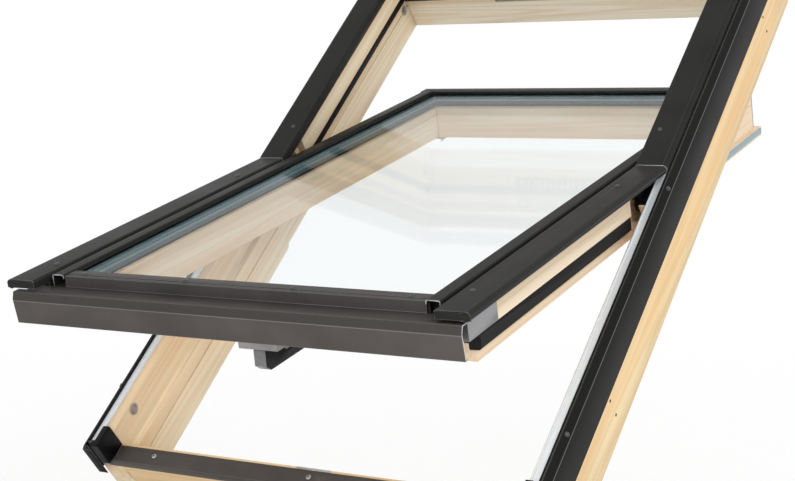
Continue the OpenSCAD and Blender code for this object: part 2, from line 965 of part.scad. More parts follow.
// Weather bar at the bottom of the sash
module bottom_tray() {
    back = bay_low - ridge_w - ridge_gap;
    front = back - ridge_w;
    end = fascia_s + 2 * sheet_t;
    color(dark) sash() {
        across(-ridge_x, ridge_x) polygon([
            [back, stile_n], [back, ridge_n], [front, ridge_n], [front - sheet_t, stile_n + sheet_t],
            [end, stile_n + sheet_t], [end, stile_n], [front, stile_n],
            [front + sheet_t, ridge_n - sheet_t], [back - sheet_t, ridge_n - sheet_t],
            [back - sheet_t, stile_n]
        ]);
        box([-batten_x, end, stile_n], [batten_x, rail_front - slide_gap, stile_n + sheet_t]);
    }
}
module fascia() {
    low = fascia_top - fascia_h;
    crease = fascia_top - crease_share * fascia_h;
    lip = stile_n + sheet_t;
    color(brown) sash() across(-fascia_x, fascia_x) polygon([
        [fascia_s + fascia_lip, lip], [fascia_s + fascia_lip, fascia_top], [fascia_s + sheet_t, fascia_top],
        [fascia_s - crease_out, crease], [fascia_s, low], [fascia_s + hem_w, low],
        [fascia_s + hem_w, low + sheet_t], [fascia_s + sheet_t, low + sheet_t],
        [fascia_s - crease_out + sheet_t, crease], [fascia_s + 2 * sheet_t, lip]
    ]);
}
module corner_plate() {
    side = batten_x - sheet_t;
    box([side, rail_front - sheet_t, batten_n], [batten_x, rail_front + plate_l, stile_n - seal_gap]);
    box([bay_x, rail_front - sheet_t, batten_n], [side, rail_front, stile_n - seal_gap]);
}
module left_corner_plate() {
    color(silver) sash() other_side() corner_plate();
}
module right_corner_plate() {
    color(silver) sash() corner_plate();
}
module sash_gasket() {
    low = seal_n + seal_gap;
    over_sill = sill_n + sheet_t + seal_gap;
    side = batten_x - sheet_t - seal_gap;
    color(black) sash() {
        for (k = [0, 1]) mirror([k, 0, 0])
            union() {
                along(rail_low, batten_start) polygon([
                    [sash_x, low], [side - arris, low], [side, low + arris], [side, batten_n],
                    [sash_x, batten_n]
                ]);
                box([seat_x + seal_gap, rail_front, over_sill], [side, rail_low, batten_n]);
            }
        across(-side, side) polygon([
            [rail_low, sill_n + seal_gap], [rail_low, batten_n], [rail_low - flange_w, batten_n],
            [rail_low - flange_w, over_sill],
            [sill_in - strip_back + seal_gap, sill_n + seal_gap]
        ]);
    }
}

// Lock, latch, handle and cleaning bolt
module lock_case() {
    color(grey) sash() difference() {
        box([-case_x, rail_low, inner_n], [case_x, rail_low + case_h, case_n]);
        box(
            [-latch_w / 2 - slide_gap, rail_low - over, latch_n - latch_t / 2 - slide_gap],
            [latch_w / 2 + slide_gap, latch_rest + latch_l + slide_gap, latch_n + latch_t / 2 + slide_gap]
        );
        translate([0, spindle_s, inner_n - over])
            cylinder(r = spindle_r + turn_gap, h = spindle_l + fit_gap + over);
    }
}
module latch_bolt() {
    x = latch_w / 2;
    color(silver) sash() across(-x, x) polygon([
        [latch_rest, latch_n - latch_t / 2], [latch_rest + latch_l, latch_n - latch_t / 2],
        [latch_rest + latch_l, latch_n + latch_t / 2], [latch_rest + latch_t / 3, latch_n + latch_t / 2],
        [latch_rest, latch_n + latch_t / 6]
    ]);
}
module handle_base() {
    r = base_w / 2;
    low = inner_n - base_t;
    color(grey) sash() difference() {
        across(-base_l / 2, base_l / 2) polygon([
            [spindle_s - r, inner_n], [spindle_s - r, low + base_edge], [spindle_s - r + base_edge, low],
            [spindle_s + r - base_edge, low], [spindle_s + r, low + base_edge], [spindle_s + r, inner_n]
        ]);
        translate([0, spindle_s, low - over]) cylinder(r = neck_r + turn_gap, h = base_t + 2 * over);
    }
}
module handle_lever() {
    near = spindle_s - lever_hub;
    tip = spindle_s + lever_l;
    low = lever_n - lever_drop;
    x = lever_w / 2;
    color(black) sash() {
        translate([0, spindle_s, lever_n]) cylinder(r = neck_r, h = inner_n - slide_gap - lever_n);
        translate([0, spindle_s, lever_n]) cylinder(r = spindle_r, h = spindle_l + inner_n - lever_n);
        difference() {
            across(-x, x) polygon([
                [near, lever_n], [near - base_edge, low + lever_hub / 2], [near + lever_hub / 2, low],
                [tip - base_edge, low], [tip, low + base_edge], [tip, low + lever_tip_h],
                [spindle_s + 2 * lever_hub, low + lever_tip_h], [spindle_s + lever_hub, lever_n]
            ]);
            across(-x + 2 * sheet_t, x - 2 * sheet_t) polygon([
                [spindle_s + lever_hub, low - over], [tip - lever_hub, low - over],
                [tip - lever_hub, low + lever_tip_h / 2], [spindle_s + lever_hub, low + lever_tip_h / 2]
            ]);
        }
    }
}
module bolt_guide() {
    color(grey) sash() other_side() difference() {
        box(
            [guide_x, rod_t - guide_w / 2, inner_n - guide_h],
            [guide_x + guide_l, rod_t + guide_w / 2, inner_n]
        );
        translate([0, rod_t, rod_m]) rod(rod_r + turn_gap, guide_x - over, guide_x + guide_l + over);
        box(
            [guide_x + guide_l / 4 - rod_r, rod_t - rod_r + knob_in, inner_n - guide_h - over],
            [guide_x + guide_l / 4 + rod_r + rod_travel, rod_t + rod_r - knob_in, rod_m]
        );
    }
}
module barrel_bolt() {
    color(silver) sash() other_side() {
        translate([0, rod_t, rod_m]) rod(rod_r, rod_tip - rod_l, rod_tip);
        translate([guide_x + guide_l / 4, rod_t, rod_m - rod_r - knob_h])
            cylinder(r = rod_r - knob_in - slide_gap, h = knob_h + rod_r);
    }
}
module sash_screws() {
    color(silver) sash() {
        for (k = [0, 1]) mirror([k, 0, 0]) cover_fixings_low(false);
        bead_fixings(false);
    }
}

left_jamb();
right_jamb();
head();
sill();
left_upper_stop();
right_upper_stop();
head_stop();
frame_gasket();
left_side_cladding();
right_side_cladding();
left_drain_strip();
right_drain_strip();
left_side_seal();
right_side_seal();
sill_cladding();
head_cladding();
left_upper_cover();
right_upper_cover();
left_corner_block();
right_corner_block();
left_hinge_track();
right_hinge_track();
striker_plate();
vent_grille();
bolt_bushes();
frame_screws();
left_stile();
right_stile();
top_rail();
bottom_rail();
outer_pane();
inner_pane();
spacer_bar();
edge_sealant();
glazing_tape();
left_glazing_bead();
right_glazing_bead();
bottom_glazing_bead();
bead_gasket();
flange_seal();
top_edge_cladding();
left_lower_cover();
right_lower_cover();
bottom_tray();
fascia();
left_corner_plate();
right_corner_plate();
sash_gasket();
left_hinge_runner();
right_hinge_runner();
lock_case();
handle_base();
bolt_guide();
sash_screws();
handle_lever();
latch_bolt();
barrel_bolt();
vent_slider();
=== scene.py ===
"""Finishes the pieces of a centre-pivot roof window and sets its stage."""

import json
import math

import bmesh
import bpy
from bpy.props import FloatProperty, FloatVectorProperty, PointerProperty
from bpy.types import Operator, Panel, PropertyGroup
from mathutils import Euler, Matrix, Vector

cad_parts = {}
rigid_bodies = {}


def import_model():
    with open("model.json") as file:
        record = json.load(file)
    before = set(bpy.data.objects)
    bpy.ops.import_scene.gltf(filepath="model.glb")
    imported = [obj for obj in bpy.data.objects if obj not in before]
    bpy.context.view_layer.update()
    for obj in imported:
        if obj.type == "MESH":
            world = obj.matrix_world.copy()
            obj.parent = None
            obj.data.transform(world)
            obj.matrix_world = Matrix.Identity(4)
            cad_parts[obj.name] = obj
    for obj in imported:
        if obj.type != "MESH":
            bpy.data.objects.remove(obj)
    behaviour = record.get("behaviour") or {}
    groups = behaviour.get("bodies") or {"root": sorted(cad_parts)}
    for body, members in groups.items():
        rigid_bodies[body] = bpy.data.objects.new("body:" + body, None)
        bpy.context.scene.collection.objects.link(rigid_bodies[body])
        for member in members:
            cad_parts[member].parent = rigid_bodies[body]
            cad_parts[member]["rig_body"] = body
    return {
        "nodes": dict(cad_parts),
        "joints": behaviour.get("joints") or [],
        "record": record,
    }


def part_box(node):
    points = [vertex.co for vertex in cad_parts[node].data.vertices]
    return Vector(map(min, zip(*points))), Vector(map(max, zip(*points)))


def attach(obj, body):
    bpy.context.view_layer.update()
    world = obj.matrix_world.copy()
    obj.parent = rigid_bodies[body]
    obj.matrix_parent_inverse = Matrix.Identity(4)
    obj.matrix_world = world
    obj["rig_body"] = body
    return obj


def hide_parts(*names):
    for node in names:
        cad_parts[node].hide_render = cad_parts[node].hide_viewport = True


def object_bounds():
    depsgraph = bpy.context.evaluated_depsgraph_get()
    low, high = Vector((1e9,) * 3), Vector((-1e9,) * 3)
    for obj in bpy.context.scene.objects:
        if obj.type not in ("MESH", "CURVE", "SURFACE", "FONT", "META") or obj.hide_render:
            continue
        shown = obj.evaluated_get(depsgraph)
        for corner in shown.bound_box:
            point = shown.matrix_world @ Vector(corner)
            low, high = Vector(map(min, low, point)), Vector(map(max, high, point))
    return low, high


bl_info = {
    "name": "Roof window finish",
    "version": (1, 0, 0),
    "blender": (4, 5, 0),
    "location": "View3D > Sidebar > Roof window",
    "description": "Finishes the timber, sheet metal, glass and fittings of a roof window",
    "category": "Object",
}

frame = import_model()
CAD_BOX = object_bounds()

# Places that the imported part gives: the turning axis, the roof's slope and the open sash's slope
JOINTS = {joint["name"]: joint for joint in frame["joints"]}
MOUNTS = {mount["name"]: mount for mount in frame["record"]["mounts"]}
PIVOT = Vector(JOINTS["sash_pivot"]["pos_m"])
ROOM_AXIS = MOUNTS["room_face"]["axis"]
ROOF_SLOPE = math.atan2(ROOM_AXIS[1], -ROOM_AXIS[2])
SASH_SLOPE = ROOF_SLOPE + math.radians(JOINTS["sash_pivot"]["range_deg"][0])

# Pieces by their finish
FRAME_ALONG = ["left_jamb", "right_jamb", "left_upper_stop", "right_upper_stop"]
FRAME_ACROSS = ["head", "head_stop"]
SASH_ALONG = ["left_stile", "right_stile"]
SASH_ACROSS = ["top_rail", "bottom_rail"]
UPPER_COVERS = ["left_upper_cover", "right_upper_cover"]
LOWER_COVERS = ["left_lower_cover", "right_lower_cover"]
SIDE_BEADS = ["left_glazing_bead", "right_glazing_bead"]
SIDE_CLADDINGS = ["left_side_cladding", "right_side_cladding"]
PLAIN_COVERS = ["head_cladding", "top_edge_cladding"]
TRAY_COVERS = ["bottom_glazing_bead", "bottom_tray"]
DRAIN_STRIPS = ["left_drain_strip", "right_drain_strip"]
CORNER_PLATES = ["left_corner_plate", "right_corner_plate"]
RUBBERS = [
    "frame_gasket", "sash_gasket", "left_side_seal", "right_side_seal", "bead_gasket",
    "edge_sealant", "glazing_tape",
]
PANES = ["outer_pane", "inner_pane"]
BLACK_FITTINGS = [
    "left_corner_block", "right_corner_block", "left_hinge_track", "right_hinge_track",
]
GREY_FITTINGS = ["bolt_guide", "lock_case"]
VENT_PIECES = ["vent_grille", "vent_slider"]
STEEL_FITTINGS = ["striker_plate", "latch_bolt", "barrel_bolt"]
RUNNERS = ["left_hinge_runner", "right_hinge_runner"]
SCREW_SETS = ["frame_screws", "sash_screws"]

# Points nearer than this are one point, and faces turned less than this are one face
MERGE_REACH = 1e-5
FLAT_TURN = math.radians(0.4)

# A long fold's least length, and the least breadth of the faces beside it
FOLD_LENGTH = 0.2
FOLD_BREADTH = 0.004

# Walls of a fixing hole: distance from the pair's middle, largest face and least depth
HOLE_REACH = 0.03
HOLE_AREA = 1e-4
HOLE_DEPTH = 0.0005

# Each lamp's place, target and size, and the floor's radius and glow by distance
KEY_LAMP = ((1.9, -1.0, 2.3), (0.1, 0.3, 0.45), 0.9)
FRONT_LAMP = ((0.6, -3.2, 0.7), (0.0, 0.3, 0.45), 1.7)
FLOOR_RADIUS = 6
FLOOR_GLOW = {"From Min": 0.6, "From Max": 2.2, "To Min": 0.90, "To Max": 1.0}


def colour(label, about, value):
    return FloatVectorProperty(
        name=label, description=about, subtype="COLOR", size=3, min=0, max=1, default=value
    )


def length(label, about, value):
    return FloatProperty(name=label, description=about, unit="LENGTH", min=0, default=value)


class TimberFinish(PropertyGroup):
    """Tones of the laminated pine and the rounding of its edges"""

    pale: colour("Pale pine", "Early wood of the frame", (0.88, 0.76, 0.56))
    warm: colour("Warm pine", "Resin-rich streaks of the frame", (0.84, 0.60, 0.36))
    ring: colour("Growth rings", "Late wood lines", (0.68, 0.43, 0.20))
    # The head's pine is paler: partly its own paler wood, partly painted light that lifts its shaded,
    # downward face
    head_pale_lit: colour("Pale head pine", "Early wood of the head", (0.95, 0.86, 0.70))
    head_warm_lit: colour("Warm head pine", "Streaks of the head", (0.92, 0.75, 0.53))
    honey: colour("Honey pine", "Early wood of the sill", (0.86, 0.65, 0.36))
    sash_pale: colour("Pale sash pine", "Early wood of the sash", (0.90, 0.75, 0.56))
    sash_warm: colour("Warm sash pine", "Streaks of the sash", (0.83, 0.61, 0.40))
    outside: colour("Outside tint", "Tint of the jambs' outer sides", (0.99, 0.885, 0.66))
    # Hole: painted shade on the walls of the fixing holes, and the dark coat on the sash timber's top
    # faces
    hole: colour("Hole", "Fixing holes and the sash timber's top coat", (0.05, 0.035, 0.025))
    heart: length("Heart band", "Depth of the warm layer below the covers", 0.089)
    layer: length("Layer thickness", "Thickness of one glued layer", 0.034)
    edge: length("Edge rounding", "Rounding of planed edges", 0.0012)


class SheetFinish(PropertyGroup):
    """Colours of the painted and plain sheet metal and the rounding of its edges"""

    dark: colour("Dark paint", "Covers and claddings", (0.021, 0.0206, 0.0198))
    brown: colour("Brown paint", "Fascia and sill cladding", (0.086, 0.077, 0.072))
    tray: colour("Tray paint", "Tray and bar below the glass", (0.062, 0.057, 0.055))
    mill: colour("Plain metal", "Drain strips", (0.79, 0.835, 0.87))
    # The bare metal of the cut ends, also used for the painted highlight on edges and folds
    bare_and_highlight: colour("Bare metal", "Cut ends and worn folds", (0.72, 0.73, 0.74))
    silver: colour("Silver metal", "Corner plates", (0.34, 0.34, 0.35))
    edge: length("Edge rounding", "Rounding of folds and cut edges", 0.00035)
    # Darker share of the dark paint on the side claddings: painted shade
    flange_shade_tone: FloatProperty(
        name="Flange tone", description="Share of the dark paint on side claddings", default=0.65
    )
    # Darker share of the brown on the fascia's leaning nose: painted shade
    nose_shade_tone: FloatProperty(
        name="Nose tone", description="Share of the brown paint above the nose's fold", default=0.68
    )
    nose: length("Nose height", "Height of the fascia's leaning top", 0.0125)
    fold: length("Fold rounding", "Outer rounding of the covers' long folds", 0.0025)


class GlassFinish(PropertyGroup):
    """Looks of the glass unit"""

    tint: colour("Tint", "Colour of one pane", (0.965, 0.98, 0.98))
    bend: FloatProperty(name="Refraction", description="Index of refraction", default=1.08)
    spacer: colour("Spacer", "Colour of the spacer bar's outer band", (0.12, 0.20, 0.22))
    spacer_low: colour("Spacer foot", "Colour of the spacer bar's inner band", (0.03, 0.065, 0.08))
    edge: length("Edge rounding", "Chamfer of the panes' edges", 0.0005)
    spacer_edge: length("Spacer rounding", "Rounding of the spacer bar's edges", 0.0006)


class FittingFinish(PropertyGroup):
    """Colours of seals, plastics and metal fittings and the rounding of their edges"""

    rubber: colour("Rubber", "Gaskets and seals", (0.010, 0.009, 0.009))
    black: colour("Black plastic", "Hinge tracks and corner blocks", (0.005, 0.0045, 0.006))
    grey: colour("Grey plastic", "Vent, lock and bolt guide", (0.36, 0.32, 0.30))
    # The bushes take the grey plastic made lighter: painted light that lifts them in their shaded
    # recess
    bush: colour("Bush grey", "Bushes in the jamb", (0.54, 0.48, 0.445))
    light: colour("Light grey", "Handle base", (0.33, 0.32, 0.32))
    # Lever grey: the broad faces' tone, against sides that take painted shade
    lever: colour("Lever grey", "Broad faces of the lever", (0.19, 0.187, 0.19))
    steel: colour("Steel", "Bolts and screws", (0.55, 0.55, 0.56))
    brass: colour("Brass", "Hinge runners", (0.50, 0.34, 0.13))
    slate: colour("Slate seal", "Brush seal round the sash", (0.29, 0.40, 0.48))
    edge: length("Edge rounding", "Rounding of the fittings' edges", 0.0006)
    rubber_edge: length("Rubber rounding", "Rounding of gaskets and seals", 0.0002)
    brush_edge: length("Brush rounding", "Rounding of the brush seal", 0.0004)


class StageSettings(PropertyGroup):
    """Camera, light and floor"""

    camera_place: FloatVectorProperty(
        name="Camera place", description="Where the camera stands", subtype="TRANSLATION",
        size=3, default=(1.3428, -2.0449, 0.6135),
    )
    camera_turn: FloatVectorProperty(
        name="Camera turn", description="How the camera is turned", subtype="EULER", size=3,
        default=(math.radians(85.165), math.radians(0.162), math.radians(31.074)),
    )
    lens: FloatProperty(name="Lens", description="Focal length in mm", default=76.535)
    floor: colour("Floor", "Colour of the floor", (0.88, 0.88, 0.87))
    sky_level: FloatProperty(name="Sky", description="Level of the even light", default=0.84)
    key_watts: FloatProperty(name="Key lamp", description="Power of the soft lamp", default=26)
    front_watts: FloatProperty(name="Front lamp", description="Power of the wide lamp", default=24)


class RoofWindowSettings(PropertyGroup):
    """All settings of the roof window"""

    timber: PointerProperty(type=TimberFinish)
    sheet: PointerProperty(type=SheetFinish)
    glass: PointerProperty(type=GlassFinish)
    fitting: PointerProperty(type=FittingFinish)
    stage: PointerProperty(type=StageSettings)


class Finish:
    """A procedural material, built up node by node."""

    def __init__(self, name, constants):
        self.material = bpy.data.materials.new(name)
        self.material.use_nodes = True
        self.tree = self.material.node_tree
        self.surface = self.tree.nodes["Principled BSDF"]
        for socket, value in constants.items():
            self.surface.inputs[socket].default_value = value
        self.place = self.node("ShaderNodeTexCoord").outputs["Object"]

    def node(self, kind, settings=(), **inputs):
        made = self.tree.nodes.new(kind)
        for key, value in dict(settings).items():
            setattr(made, key, value)
        for key, value in inputs.items():
            self.feed(made.inputs[int(key[1:]) if key[1:].isdigit() else key], value)
        return made

    def feed(self, socket, value):
        if isinstance(value, bpy.types.NodeSocket):
            self.tree.links.new(value, socket)
        elif socket.type == "RGBA":
            socket.default_value = (*value, 1)
        else:
            socket.default_value = value

    def connect(self, **sockets):
        for key, value in sockets.items():
            self.feed(self.surface.inputs[key.replace("_", " ")], value)

    def sum(self, operation, a, b=0.0, c=0.0):
        made = self.node("ShaderNodeMath", {"operation": operation}, _0=a, _1=b)
        if operation == "MULTIPLY_ADD":
            self.feed(made.inputs[2], c)
        return made.outputs[0]

    def mapped(self, place, **inputs):
        return self.node("ShaderNodeMapping", Vector=place, **inputs).outputs[0]

    def noise(self, place, scale, detail=2.0, roughness=0.5, distortion=0.0, layer=None):
        made = self.node(
            "ShaderNodeTexNoise", {"noise_dimensions": "3D" if layer is None else "4D"},
            Vector=place, Scale=scale, Detail=detail, Roughness=roughness, Distortion=distortion,
        )
        if layer is not None:
            self.feed(made.inputs["W"], layer)
        return made.outputs["Fac"]

    def span(self, value, low, high, to_low=0.0, to_high=1.0):
        made = self.node("ShaderNodeMapRange", _0=value, _1=low, _2=high, _3=to_low, _4=to_high)
        return made.outputs[0]

    def mix(self, share, first, second, blend="MIX"):
        made = self.node("ShaderNodeMix", {"data_type": "RGBA", "blend_type": blend})
        self.feed(made.inputs[0], share)
        self.feed(made.inputs[6], first)
        self.feed(made.inputs[7], second)
        return made.outputs[2]

    def bump(self, height, depth, strength=1.0):
        made = self.node("ShaderNodeBump", Height=height, Distance=depth, Strength=strength)
        self.connect(Normal=made.outputs[0])

    def slope_place(self, slope):
        """Coordinates with the pivot at zero, Y up the slope and Z out of the roof."""
        turn = Matrix.Rotation(-slope, 3, "X")
        return self.mapped(self.place, Location=-(turn @ PIVOT), Rotation=(-slope, 0, 0))


def tone(value, share):
    return tuple(channel * share for channel in value)


def pine(name, slope, across, pale, warm, settings, sides=None, sealed=None):
    """Glued layers of lacquered pine, with growth lines that run along the piece.

    Faces as far out as sides take the outside tint, and faces as high as sealed a dark coat.
    """
    finish = Finish(name, {"Roughness": 0.5, "Specular IOR Level": 0.3})
    place = finish.slope_place(slope)
    across_x, _, depth = finish.node("ShaderNodeSeparateXYZ", Vector=place).outputs
    layers = finish.sum("DIVIDE", depth, settings.layer)
    layer = finish.sum("FLOOR", layers)
    joint = finish.sum("PINGPONG", layers, 0.5)
    along = finish.mapped(place, Scale=(0.035, 1, 1) if across else (1, 0.035, 1))
    thread = finish.mapped(place, Scale=(0.01, 1, 1) if across else (1, 0.01, 1))
    growth = finish.noise(along, 16, 1.5, 0.45, 0.3, finish.sum("MULTIPLY", layer, 3.7))
    lines = finish.sum("SINE", finish.sum("MULTIPLY", growth, 95))
    lines = finish.span(lines, -0.2, 1)
    broad = finish.noise(along, 24, 2, 0.5, 0.2, finish.sum("MULTIPLY", layer, 5.3))
    fibre = finish.noise(thread, 420, 2, 0.6)
    shade = finish.mix(finish.span(broad, 0.46, 0.70), pale, warm)
    drift = finish.sum("MULTIPLY_ADD", broad, 0.016, settings.heart - 0.008)
    heart = finish.sum("ABSOLUTE", finish.sum("ADD", depth, drift))
    shade = finish.mix(finish.span(heart, 0.002, 0.012, 0.6, 0), shade, warm)
    shade = finish.mix(finish.sum("MULTIPLY", lines, 0.30), shade, settings.ring)
    shade = finish.mix(finish.span(joint, 0.006, 0.016, 0.45, 0), shade, settings.ring)
    shade = finish.mix(finish.span(fibre, 0.35, 0.75, 0, 0.12), shade, tone(pale, 1.12))
    if sides is not None:
        far = finish.sum("ABSOLUTE", across_x)
        side = finish.span(far, sides - 0.004, sides - 0.001)
        shade = finish.mix(side, shade, settings.outside, "MULTIPLY")
    if sealed is not None:
        top = finish.span(depth, sealed - 0.001, sealed - 0.0008)
        shade = finish.mix(top, shade, settings.hole)
    finish.connect(Base_Color=shade, Roughness=finish.span(fibre, 0.3, 0.7, 0.42, 0.56))
    finish.bump(finish.sum("MULTIPLY_ADD", lines, 0.25, fibre), 0.00012, 0.5)
    return finish.material


def painted_sheet(name, base, bare_and_highlight, roughness=0.40, shine=0.16, ior=1.25, fold=None, above=1.0):
    """Satin paint with a fine grain, slight handling marks and lighter edges, partly wear and partly
    painted highlight.

    A fold, given as its slope and level, takes a painted highlight line too, partly wear, and the paint
    above it may take a darker tone, as painted shade.
    """
    finish = Finish(name, {"Specular IOR Level": shine, "IOR": ior, "Metallic": 0.0})
    cloud = finish.noise(finish.place, 9, 3, 0.55)
    grain = finish.noise(finish.place, 1400, 1, 0.5)
    shade = finish.mix(finish.span(cloud, 0.35, 0.65), tone(base, 0.88), tone(base, 1.12))
    if fold is not None:
        slope, height = fold
        level = finish.node("ShaderNodeSeparateXYZ", Vector=finish.slope_place(slope)).outputs[2]
        level = finish.sum("SUBTRACT", level, height)
        shade = finish.mix(finish.span(level, -0.0002, 0.0002), shade, tone(base, above))
    # Lighter edges from the bevel normal, concave ones too: partly wear, partly painted highlight
    rounded = finish.node("ShaderNodeBevel", {"samples": 6}, Radius=0.0018).outputs[0]
    plain = finish.node("ShaderNodeNewGeometry").outputs["Normal"]
    match = finish.node("ShaderNodeVectorMath", {"operation": "DOT_PRODUCT"}, _0=rounded, _1=plain)
    shade = finish.mix(finish.span(match.outputs["Value"], 0.86, 0.99, 0.2, 0), shade, bare_and_highlight)
    # A thin painted highlight line along the fold, partly wear
    if fold is not None:
        near = finish.sum("ABSOLUTE", level)
        shade = finish.mix(finish.span(near, 0.0003, 0.0009, 0.15, 0), shade, bare_and_highlight)
    finish.connect(
        Base_Color=shade, Roughness=finish.span(cloud, 0.3, 0.7, roughness - 0.05, roughness + 0.06)
    )
    finish.bump(grain, 0.00004, 0.5)
    return finish.material


def plain_metal(name, base, slope, roughness=0.34, metallic=0.75):
    """Rolled metal with fine lines along the slope."""
    finish = Finish(name, {"Metallic": metallic, "Specular IOR Level": 0.4})
    lines = finish.noise(finish.mapped(finish.slope_place(slope), Scale=(1, 0.02, 1)), 900, 2, 0.6)
    cloud = finish.noise(finish.place, 14, 2, 0.5)
    shade = finish.mix(finish.span(lines, 0.35, 0.7), tone(base, 0.90), tone(base, 1.06))
    shade = finish.mix(finish.span(cloud, 0.4, 0.7, 0, 0.25), shade, tone(base, 0.85))
    finish.connect(
        Base_Color=shade, Roughness=finish.span(lines, 0.3, 0.7, roughness - 0.06, roughness + 0.1)
    )
    finish.bump(lines, 0.00003, 0.4)
    return finish.material


def moulded(name, base, roughness=0.5, shine=0.35, grain_size=1800):
    """Moulded plastic or rubber with a fine mould texture."""
    finish = Finish(name, {"Specular IOR Level": shine, "IOR": 1.35})
    grain = finish.noise(finish.place, grain_size, 2, 0.55)
    cloud = finish.noise(finish.place, 22, 2, 0.5)
    shade = finish.mix(finish.span(cloud, 0.35, 0.65), tone(base, 0.85), tone(base, 1.12))
    finish.connect(
        Base_Color=shade, Roughness=finish.span(grain, 0.3, 0.7, roughness - 0.06, roughness + 0.08)
    )
    finish.bump(grain, 0.00005, 0.5)
    return finish.material


def glass_sheet(name, settings):
    """Float glass with a faint green-blue tint and a trace of dust."""
    finish = Finish(name, {
        "Transmission Weight": 1.0, "IOR": settings.bend, "Base Color": (*settings.tint, 1),
    })
    dust = finish.noise(finish.place, 35, 4, 0.6)
    finish.connect(Roughness=finish.span(dust, 0.5, 0.8, 0.0, 0.02))
    return finish.material


def spacer_metal(name, outer, inner, slope, low, high):
    """Rolled spacer with a light outer band, a darker foot, two dark beads and breather slots, partly
    its own bands and partly a painted reflection of the spacer in the panes.
    """
    finish = Finish(name, {"Metallic": 0.15, "Specular IOR Level": 0.25, "Roughness": 0.4})
    place = finish.slope_place(slope)
    depth = finish.node("ShaderNodeSeparateXYZ", Vector=place).outputs[2]
    height = finish.span(depth, low, high)
    shade = finish.mix(finish.span(height, 0.25, 0.45), inner, outer)
    # The dark bead lines and the bands between them copy the spacer's reflection in the panes: partly
    # painted reflection
    for bead in (0.35, 0.7):
        near = finish.sum("ABSOLUTE", finish.sum("SUBTRACT", height, bead))
        shade = finish.mix(finish.span(near, 0.03, 0.06, 0.75, 0), shade, tone(inner, 0.4))
    slots = finish.node("ShaderNodeTexVoronoi", {"feature": "F1"}, Vector=place, Scale=330.0)
    dot = finish.span(slots.outputs["Distance"], 0.18, 0.26)
    finish.connect(Base_Color=finish.mix(dot, tone(inner, 0.6), shade))
    finish.bump(dot, 0.0001, 0.4)
    return finish.material


def brush_seal(name, base, slope):
    """Pile strip with short fibres."""
    finish = Finish(name, {"Specular IOR Level": 0.15, "Sheen Weight": 0.3})
    fibres = finish.noise(finish.mapped(finish.slope_place(slope), Scale=(1, 1, 0.1)), 2200, 2, 0.6)
    finish.connect(
        Base_Color=finish.mix(fibres, tone(base, 0.7), tone(base, 1.25)),
        Roughness=finish.span(fibres, 0.3, 0.7, 0.7, 0.9),
    )
    finish.bump(fibres, 0.0003, 0.7)
    return finish.material


def merged_copy(node):
    """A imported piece's mesh with its triangles joined to whole faces."""
    work = bmesh.new()
    work.from_mesh(frame["nodes"][node].data)
    bmesh.ops.remove_doubles(work, verts=work.verts, dist=MERGE_REACH)
    bmesh.ops.dissolve_limit(
        work, angle_limit=FLAT_TURN, verts=work.verts, edges=work.edges, delimit=set()
    )
    return work


def placed(name, work, node_names, finish):
    """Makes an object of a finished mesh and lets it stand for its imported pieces."""
    mesh = bpy.data.meshes.new(name)
    work.to_mesh(mesh)
    work.free()
    if not len(mesh.polygons):
        raise RuntimeError(name + " has no faces")
    mesh.materials.append(finish)
    piece = bpy.data.objects.new(name, mesh)
    bpy.context.scene.collection.objects.link(piece)
    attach(piece, frame["nodes"][node_names[0]]["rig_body"])
    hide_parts(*node_names)
    return piece


def long_fold(edge):
    """Whether an edge is the outside of a long fold between two broad faces."""
    along = edge.calc_length()
    if along <= FOLD_LENGTH or not edge.is_convex:
        return False
    return min(face.calc_area() for face in edge.link_faces) > FOLD_BREADTH * along


def eased(node, finish, width, segments=2, shortest=0.003, corner=28, smooth=True, fold=None):
    """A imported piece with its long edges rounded, and its long folds more where fold says so."""
    work = merged_copy(node)
    weight = work.edges.layers.float.new("bevel_weight_edge")
    for face in work.faces:
        face.smooth = smooth
    for edge in work.edges:
        sharp = not edge.is_manifold or edge.calc_face_angle(0) > math.radians(corner)
        if sharp and edge.calc_length() > shortest:
            edge[weight] = 1.0 if not fold or long_fold(edge) else width / fold
        edge.smooth = not sharp or edge[weight] > 0
    piece = placed(node + "_finished", work, [node], finish)
    bevel = piece.modifiers.new("Rounded edges", "BEVEL")
    bevel.limit_method = "WEIGHT"
    bevel.width = fold or width
    bevel.segments = segments
    bevel.profile = 0.5
    bevel.material = -1
    bevel.use_clamp_overlap = False
    bevel.harden_normals = smooth
    return piece


def refinish_facing(piece, finish, axis):
    """Gives the faces that look along an axis a finish of their own."""
    piece.data.materials.append(finish)
    for face in piece.data.polygons:
        if face.normal.dot(axis) > 0.95:
            face.material_index = 1


def on_slope(node, slope):
    """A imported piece's points with the pivot at zero, Y up the slope and Z out of the roof."""
    turn = Matrix.Rotation(-slope, 3, "X")
    return [turn @ (vert.co - PIVOT) for vert in frame["nodes"][node].data.vertices]


def fold_level(node):
    """Level of a side cladding's outer fold, measured out of the roof."""
    points = on_slope(node, ROOF_SLOPE)
    outer = max(abs(point.x) for point in points)
    return max(point.z for point in points if abs(point.x) > outer - 1e-5)


def paint_hole_shade(piece, finish):
    """Gives the walls of the fixing holes a dark material of their own, which paints shade in the
    holes.
    """
    pairs = [mount for mount in MOUNTS.values() if mount["kind"] == "bolt_pattern"]
    centres = [Vector(pair["pos_m"]) for pair in pairs]
    piece.data.materials.append(finish)
    for face in piece.data.polygons:
        mouth = min(centres, key=lambda centre: (face.center - centre).length)
        inside = abs(face.center.x) < abs(mouth.x) - HOLE_DEPTH
        if inside and face.area < HOLE_AREA and (face.center - mouth).length < HOLE_REACH:
            face.material_index = 1


def settings_of(context):
    return context.scene.roof_window


